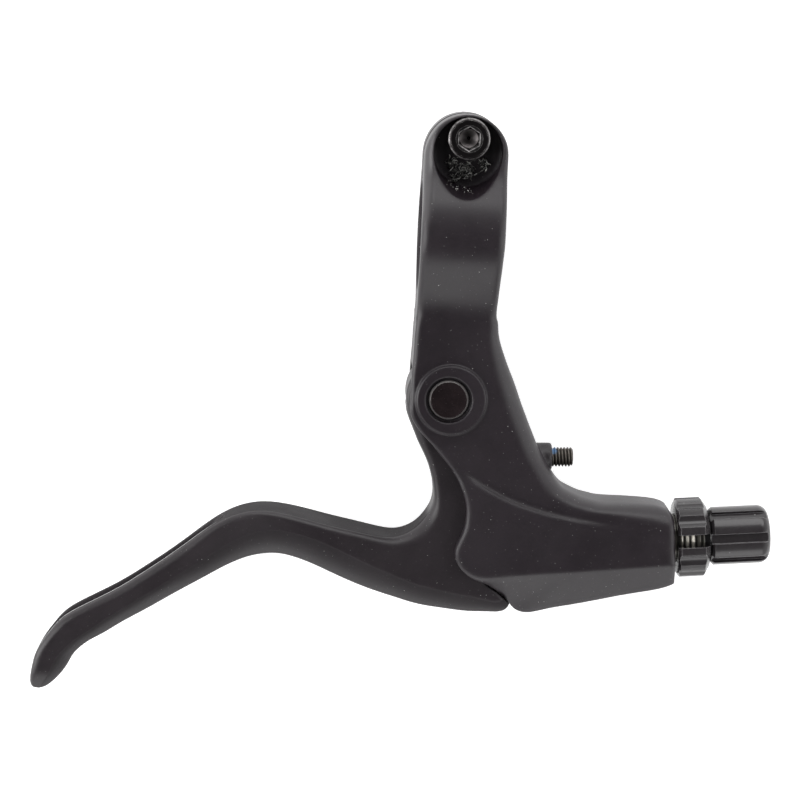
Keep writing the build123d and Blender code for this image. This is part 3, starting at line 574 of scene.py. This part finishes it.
def oiled_steel(name, dark, rubbed, rough):
    """Black oxide steel: darker in patches, rubbed bright on its edges."""
    material, g, shader, place = new_material(name)
    coat = use_group(g, "matte_coat", Place=place, Rounding=0.1 * MM)
    edge_mark = use_group(g, "edge_wear", Place=place, Width=0.25 * MM)["Mask"]
    dust = use_group(g, "dust_specks", Place=place, Size=0.06, Spacing=800.0)["Mask"]
    tone = g.blend(coat["Tone"], dark, tuple(c * 1.5 for c in dark))
    tone = g.blend(edge_mark, tone, rubbed)
    g.put(shader, "Base Color", g.blend(dust, tone, STEEL_DUST))
    g.put(shader, "Roughness", g.between(coat["Sheen"], 0.0, 1.0, rough - 0.05, rough + 0.07))
    g.put(shader, "Normal", coat["Normal"])
    g.put(shader, "Metallic", 0.85)
    return material, g, shader, place


def hexagon_reach(g, from_axis):
    """Distance from an upright axis, measured square to the sides of a hexagon round it."""
    reach = 0.0
    for turn in (0, 60, 120):
        to_side = (math.cos(math.radians(turn)), math.sin(math.radians(turn)), 0)
        across = g.math("ABSOLUTE", g.vector("DOT_PRODUCT", from_axis, to_side))
        reach = g.math("MAXIMUM", across, reach)
    return reach


def bolt_steel():
    """Bolt finish: dark face, painted highlights on the rim, the hexagon edges and the socket's floor,
    painted shade down the socket, and an upright knurl round the head.
    """
    material, g, shader, place = oiled_steel("bolt_black", BOLT_DARK, BOLT_RUBBED, rough=0.30)
    rim = ring_round(g, place, bolt_axis, BOLT_RIM_BAND)
    mouth = ring_round(g, place, bolt_axis, BOLT_MOUTH_BAND)
    socket = ring_round(g, place, bolt_axis, BOLT_FLOOR_BAND)
    from_axis = g.vector("SUBTRACT", place, bolt_axis)
    spot = g.parts(from_axis)
    rim_height = bolt_high.z - BOLT_RIM_DEPTH
    floor_height = bolt_high.z - BOLT_SOCKET_DEPTH
    top = g.between(spot["Z"], rim_height - 0.1 * MM, rim_height + 0.1 * MM)
    above_floor = g.between(spot["Z"], floor_height - 0.1 * MM, floor_height + 0.1 * MM)
    at_floor = g.between(spot["Z"], floor_height + 0.1 * MM, floor_height - 0.2 * MM)
    hexagon = g.within(hexagon_reach(g, from_axis), *BOLT_HEXAGON)
    edge = use_group(g, "edge_wear", Place=place, Width=0.18 * MM)["Edge"]
    edge = g.product(edge, g.between(rim["Far"], 3.1 * MM, 2.9 * MM))
    # Painted highlight on the rim, the socket's mouth and edges and the hexagon's edges, broken up by
    # noise
    bright = g.product(g.math("MAXIMUM", rim["Ring"], mouth["Ring"]), top)
    bright = g.math("MAXIMUM", bright, edge)
    bright = g.math("MAXIMUM", bright, g.product(hexagon, top))
    highlight_breakup = g.between(g.noise(place, 1500.0, 4.0, 0.7), 0.35, 0.62, 0.25, 1.0)
    # Painted shade down the socket
    socket_shade = g.product(mouth["Disc"], above_floor)
    tone = g.blend(socket_shade, drawn(shader, "Base Color"), BOLT_SOCKET_PAINTED_SHADE)
    tone = g.blend(g.product(bright, highlight_breakup), tone, BOLT_PAINTED_HIGHLIGHT)
    # Painted highlight ring on the socket's floor
    tone = g.blend(g.product(at_floor, socket["Ring"]), tone, BOLT_FLOOR_PAINTED_HIGHLIGHT)
    g.put(shader, "Base Color", tone)
    angle = g.math("ARCTAN2", spot["Y"], spot["X"])
    ridge = g.math("SINE", g.math("MULTIPLY", angle, BOLT_KNURLS))
    upright = g.parts(g.add("NewGeometry").outputs["Normal"])["Z"]
    side = g.between(g.math("ABSOLUTE", upright), 0.5, 0.2)
    knurl = g.product(ridge, side, g.between(rim["Far"], 3.6 * MM, 3.8 * MM))
    g.put(shader, "Normal", g.bump(knurl, 0.8, 0.15 * MM, drawn(shader, "Normal")))
    return material


def pin_steel():
    """Pivot pin: dark grainy face inside a chamfer with a painted highlight."""
    material, g, shader, place = oiled_steel("pin_black", PIN_DARK, PIN_RUBBED, rough=0.38)
    chamfer = ring_round(g, place, pivot_point, PIN_CHAMFER_BAND)["Ring"]
    top = g.between(g.math("ABSOLUTE", g.parts(place)["Z"]), *PIN_CHAMFER_HEIGHT)
    grain = use_group(g, "dust_specks", Place=place, Size=0.15, Spacing=2600.0)["Mask"]
    tone = g.blend(grain, drawn(shader, "Base Color"), PIN_GRAIN)
    # Painted highlight on the chamfer
    g.put(shader, "Base Color", g.blend(g.product(chamfer, top), tone, PIN_CHAMFER_HIGHLIGHT))
    return material


def thread_steel(boss_end):
    """Screw thread in dull steel, its crests painted lighter as highlights, with a dab of blue locker
    on top where it leaves its boss.
    """
    material, g, shader, place = new_material("reach_thread")
    spot = g.parts(place)
    coat = use_group(g, "matte_coat", Place=place, Rounding=0.05 * MM)
    far = g.vector("LENGTH", g.level(place))
    crest = g.between(far, REACH_ROOT + 0.02 * MM, REACH_CREST - 0.01 * MM)
    # Painted highlight: crests lighter than the roots
    steel = g.blend(crest, REACH_DARK, REACH_CREST_HIGHLIGHT)
    steel = g.blend(g.math("MULTIPLY", coat["Tone"], 0.5), steel, REACH_PATCH)
    ragged = g.math("MULTIPLY", g.noise(place, 1500.0, 3.0, 0.6), 1.2 * MM)
    dab_end = boss_end + DAB_LENGTH
    dab = g.product(
        g.between(g.math("ADD", spot["Z"], ragged), dab_end, dab_end - 0.5 * MM),
        g.between(g.math("ADD", spot["Y"], ragged), 1.3 * MM, 2.0 * MM),
        g.between(spot["Z"], boss_end - 1.0 * MM, boss_end),
    )
    g.put(shader, "Base Color", g.blend(dab, steel, LOCKER_BLUE))
    g.put(shader, "Metallic", g.math("SUBTRACT", 0.8, g.math("MULTIPLY", dab, 0.8)))
    g.put(shader, "Roughness", g.between(coat["Sheen"], 0.0, 1.0, 0.34, 0.5))
    g.put(shader, "Normal", coat["Normal"])
    return material


def wet_grease(name, dark, pale):
    """Smeared grease with pale lint in it."""
    material, g, shader, place = new_material(name)
    lint = g.between(g.noise(place, 1400.0, 4.0, 0.65), 0.42, 0.68)
    g.put(shader, "Base Color", g.blend(lint, dark, pale))
    g.put(shader, "Roughness", g.between(lint, 0.0, 1.0, 0.22, 0.5))
    return material


def dry_dirt(name, dark, pale):
    """Dull dirt in uneven tones."""
    material, g, shader, place = new_material(name)
    g.put(shader, "Base Color", g.blend(g.noise(place, 700.0, 2.0), dark, pale))
    g.put(shader, "Roughness", 0.8)
    return material


def assign(node, material):
    """Gives all of a node's slots one material."""
    for slot in nodes[node].material_slots:
        slot.material = material


def finishes():
    """Dresses each solid of the part."""
    assign("lever_body", body_coat())
    assign("lever_blade", blade_coat())
    assign("pivot_pin", pin_steel())
    pivot_screw = oiled_steel("screw_black", PIVOT_SCREW_DARK, PIVOT_SCREW_RUBBED, rough=0.36)[0]
    assign("pivot_screw", pivot_screw)
    assign("clamp_bolt", bolt_steel())
    assign("return_spring", oiled_steel("spring_wire", SPRING_DARK, SPRING_RUBBED, rough=0.30)[0])
    bush = painted("bush_plastic", BUSH_DARK, BUSH_PALE, rough=0.5, specks=0.03)[0]
    assign("upper_bush", bush)
    assign("lower_bush", bush)
    gloss = glossy_black()
    assign("barrel_adjuster", gloss)
    assign("lock_ring", gloss)


# Pieces modelled here because the part leaves them plain or out
def mesh_piece(name, points, faces, material, smooth=True):
    """Object with a mesh of the given points and faces."""
    mesh = bpy.data.meshes.new(name)
    mesh.from_pydata(points, [], faces)
    mesh.validate()
    if smooth:
        mesh.polygons.foreach_set("use_smooth", [True] * len(mesh.polygons))
    mesh.materials.append(material)
    piece = bpy.data.objects.new(name, mesh)
    bpy.context.scene.collection.objects.link(piece)
    return piece


def threaded_rod(length):
    """Points and faces of the reach screw along Z, with a real helix and a hexagon socket on top."""
    around = 40
    rows_per_turn = 9
    crest_steepness = 1.35
    drill_point = 1.2
    rows = int(length / REACH_PITCH * rows_per_turn)
    points = []
    faces = []

    def ring(height, radius_at):
        first = len(points)
        for k in range(around):
            angle = 2 * math.pi * k / around
            radius = radius_at(angle, k)
            points.append((radius * math.cos(angle), radius * math.sin(angle), height))
        return first

    def wall(low, high):
        for k in range(around):
            n = (k + 1) % around
            faces.append((low + k, low + n, high + n, high + k))

    def thread(height):
        def radius_at(angle, k):
            phase = (height / REACH_PITCH - k / around) % 1.0
            rise = max(0.0, min(1.0, crest_steepness * (1 - abs(2 * phase - 1))))
            from_end = min(height, length - height)
            chamfered = REACH_CREST - max(0.0, REACH_CHAMFER - from_end)
            return min(REACH_ROOT + (REACH_CREST - REACH_ROOT) * rise, chamfered)
        return radius_at

    def hexagon(angle, k):
        return REACH_KEY / 2 / math.cos((angle % (math.pi / 3)) - math.pi / 6)

    last = None
    for row in range(rows + 1):
        height = length * row / rows
        here = ring(height, thread(height))
        if last is None:
            faces.append(tuple(range(here + around - 1, here - 1, -1)))
        else:
            wall(last, here)
        last = here
    mouth = ring(length, hexagon)
    wall(last, mouth)
    floor = ring(length - REACH_KEY_DEPTH, hexagon)
    wall(mouth, floor)
    points.append((0, 0, length - REACH_KEY_DEPTH * drill_point))
    for k in range(around):
        faces.append((floor + k, floor + (k + 1) % around, len(points) - 1))
    return points, faces


def reach_screw():
    """Threaded screw in place of the plain one."""
    low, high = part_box("reach_screw")
    centre = (low + high) / 2
    length = (high.x - low.x - REACH_DIAMETER * reach_axis.y) / reach_axis.x
    start = centre - reach_axis * (length / 2)
    up = Vector((0, 0, 1)).cross(reach_axis)
    turn = Matrix((up.cross(reach_axis), up, reach_axis)).transposed().to_4x4()
    points, faces = threaded_rod(length)
    piece = mesh_piece("reach_screw_thread", points, faces, thread_steel(length - REACH_SHOWN))
    piece.matrix_world = Matrix.Translation(start) @ turn
    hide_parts("reach_screw")
    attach(piece, "reach")


def tube(points, faces, path, radius):
    """Adds a thin round strand along a path, thinner towards its closed ends."""
    sides = 5
    thin_end = 0.35
    first = len(points)
    for index, place in enumerate(path):
        ahead = path[min(index + 1, len(path) - 1)] - path[max(index - 1, 0)]
        side = ahead.orthogonal().normalized()
        other = ahead.normalized().cross(side)
        swell = math.sin(math.pi * (index + 0.5) / len(path))
        thick = radius * (thin_end + (1 - thin_end) * swell)
        for k in range(sides):
            angle = 2 * math.pi * k / sides
            points.append(tuple(place + (side * math.cos(angle) + other * math.sin(angle)) * thick))
    for index in range(len(path) - 1):
        for k in range(sides):
            a = first + index * sides + k
            b = first + index * sides + (k + 1) % sides
            faces.append((a, b, b + sides, a + sides))
    last = first + (len(path) - 1) * sides
    faces.append(tuple(range(first + sides - 1, first - 1, -1)))
    faces.append(tuple(range(last, last + sides)))


def crumb(points, faces, place, radius, rng):
    """Adds a small uneven lump with eight faces."""
    first = len(points)
    for corner in ((1, 0, 0), (-1, 0, 0), (0, 1, 0), (0, -1, 0), (0, 0, 1), (0, 0, -1)):
        reach = radius * rng.uniform(0.6, 1.3)
        points.append(tuple(place + Vector(corner) * reach))
    upper = ((0, 2, 4), (2, 1, 4), (1, 3, 4), (3, 0, 4))
    lower = ((2, 0, 5), (1, 2, 5), (3, 1, 5), (0, 3, 5))
    for a, b, c in upper + lower:
        faces.append((first + a, first + b, first + c))


def pocket_grease():
    """Dark lumps and pale strings of old grease on the pocket's floor, below the bolt's head."""
    rng = random.Random(7)
    strings = []
    string_faces = []
    lumps = []
    lump_faces = []
    centre = Vector((bolt_centre.x, bolt_centre.y - 0.45 * MM, pocket_floor))
    # Each clump's place in millimetres, the reach of its strings, and how many strings and lumps
    clumps = (
        (-3.1, -4.5, 1.0, 14),
        (-1.0, -6.2, 1.3, 22),
        (0.6, -5.6, 1.2, 12),
        (3.3, -4.6, 1.0, 12),
        (-2.4, -7.6, 0.8, 6),
    )
    steps = 11
    step_length = 0.17
    for x, y, reach, count in clumps:
        for _ in range(count):
            off = Vector((x + rng.gauss(0, 0.45), y + rng.gauss(0, 0.45), rng.uniform(0.3, 1.5)))
            place = centre + off * MM
            path = [place.copy()]
            step = Vector((rng.gauss(0, 1), rng.gauss(0, 1), rng.gauss(0, 0.3))).normalized()
            for _ in range(steps):
                bend = Vector((rng.gauss(0, 0.5), rng.gauss(0, 0.5), rng.gauss(0, 0.2)))
                step = (step + bend).normalized()
                place = place + step * reach * step_length * MM
                path.append(place.copy())
            tube(strings, string_faces, path, rng.uniform(0.05, 0.14) * MM)
        for _ in range(count):
            off = Vector((x + rng.gauss(0, 0.5), y + rng.gauss(0, 0.45), rng.uniform(0.0, 0.4)))
            crumb(lumps, lump_faces, centre + off * MM, rng.choice((0.26, 0.36, 0.50)) * MM, rng)
    arc = ((3.7, -5.0), (3.3, -5.6), (2.6, -6.2), (1.7, -6.7), (0.8, -7.0), (-0.2, -7.3))
    path = [centre + Vector((x, y, 0.9)) * MM for x, y in arc]
    tube(strings, string_faces, path, 0.12 * MM)
    dark = wet_grease("dark_grease", LUMP_DARK, LUMP_LINT)
    pale = wet_grease("pale_grease", STRING_DARK, STRING_LINT)
    pieces = (
        mesh_piece("pocket_grease", lumps, lump_faces, dark),
        mesh_piece("grease_strings", strings, string_faces, pale),
    )
    for piece in pieces:
        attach(piece, "body")


def pocket_crumbs():
    """Pale crumbs of dirt on the lower slope of the pocket."""
    rng = random.Random(11)
    count = 34
    lift = 0.1 * MM
    points = []
    faces = []
    for _ in range(count):
        side = rng.uniform(-4.0, 1.2) * MM
        rise = rng.uniform(0.02, 0.6)
        tall = POCKET_RADIUS + POCKET_STRETCH * rise
        down = POCKET_DROP + tall * math.sqrt(1 - (side / POCKET_RADIUS) ** 2)
        height = pocket_floor + lift + SLOPE_HEIGHT * rise
        place = Vector((bolt_centre.x + side, bolt_centre.y - down + lift, height))
        crumb(points, faces, place, rng.choice((0.06, 0.07, 0.09, 0.13)) * MM, rng)
    dirt = dry_dirt("pale_crumbs", CRUMB_DARK, CRUMB_PALE)
    piece = mesh_piece("pocket_crumbs", points, faces, dirt, smooth=False)
    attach(piece, "body")


# Camera and room
def photo_camera():
    """Camera over the flat side, leaning a little to the rider's side."""
    data = bpy.data.cameras.new("photo_camera")
    data.lens = CAMERA_LENS
    data.sensor_width = CAMERA_SENSOR
    data.clip_end = CAMERA_REACH
    camera = bpy.data.objects.new("photo_camera", data)
    bpy.context.scene.collection.objects.link(camera)
    turn = Euler([math.radians(angle) for angle in CAMERA_TURN]).to_matrix()
    place = LOOK_AT + turn.col[2] * CAMERA_DISTANCE
    camera.matrix_world = Matrix.Translation(place) @ turn.to_4x4()
    bpy.context.scene.camera = camera


def seen_directly(g):
    """1 for rays from the camera, or by way of a mirror or glass; 0 for the light on the object."""
    path = g.add("LightPath").outputs
    seen = g.math("MAXIMUM", path["Is Camera Ray"], path["Is Glossy Ray"])
    return g.math("MAXIMUM", seen, path["Is Transmission Ray"])


def plain_white(name, colour):
    """Matte white that glows only where it is looked at, so that it adds no light."""
    material, g, shader, place = new_material(name)
    tint = g.blend(g.noise(place, 3.0, 2.0), colour, tuple(c * 0.985 for c in colour))
    g.put(shader, "Base Color", tint)
    g.put(shader, "Roughness", 0.9)
    g.put(shader, "Specular IOR Level", 0.0)
    g.put(shader, "Emission Color", (1, 1, 1, 1))
    g.put(shader, "Emission Strength", g.math("MULTIPLY", seen_directly(g), FLOOR_GLOW))
    return material


def soft_lamp(name, place, size, power):
    """Flat soft lamp that faces the part."""
    data = bpy.data.lights.new(name, "AREA")
    data.shape = "RECTANGLE"
    data.size, data.size_y = size
    data.energy = power
    lamp = bpy.data.objects.new(name, data)
    bpy.context.scene.collection.objects.link(lamp)
    lamp.location = place
    facing = Vector(LAMP_TARGET) - Vector(place)
    lamp.rotation_euler = facing.to_track_quat("-Z", "Y").to_euler()


def white_room():
    """Bright low walls and a dim ceiling."""
    world = bpy.data.worlds.new("white_room")
    world.use_nodes = True
    g = Graph(world.node_tree)
    sky = world.node_tree.nodes["Background"]
    height = g.parts(g.add("TexCoord").outputs["Generated"])["Z"]
    g.put(sky, "Color", (1, 1, 1, 1))
    g.put(sky, "Strength", g.between(height, 0.25, 0.9, WALL_LIGHT, CEILING_LIGHT))
    bpy.context.scene.world = world
    bpy.context.scene.view_settings.view_transform = "Standard"


def studio():
    """White floor, four lamps and the room's light."""
    bpy.ops.mesh.primitive_plane_add(size=FLOOR_SIZE, location=(0, 0, FLOOR_HEIGHT))
    floor = bpy.context.object
    floor.name = "floor"
    floor.data.materials.append(plain_white("floor_white", FLOOR_WHITE))
    for name, place, size, power in LAMPS:
        soft_lamp(name, place, size, power)
    white_room()


finishes()
reach_screw()
pocket_grease()
pocket_crumbs()
photo_camera()
studio()
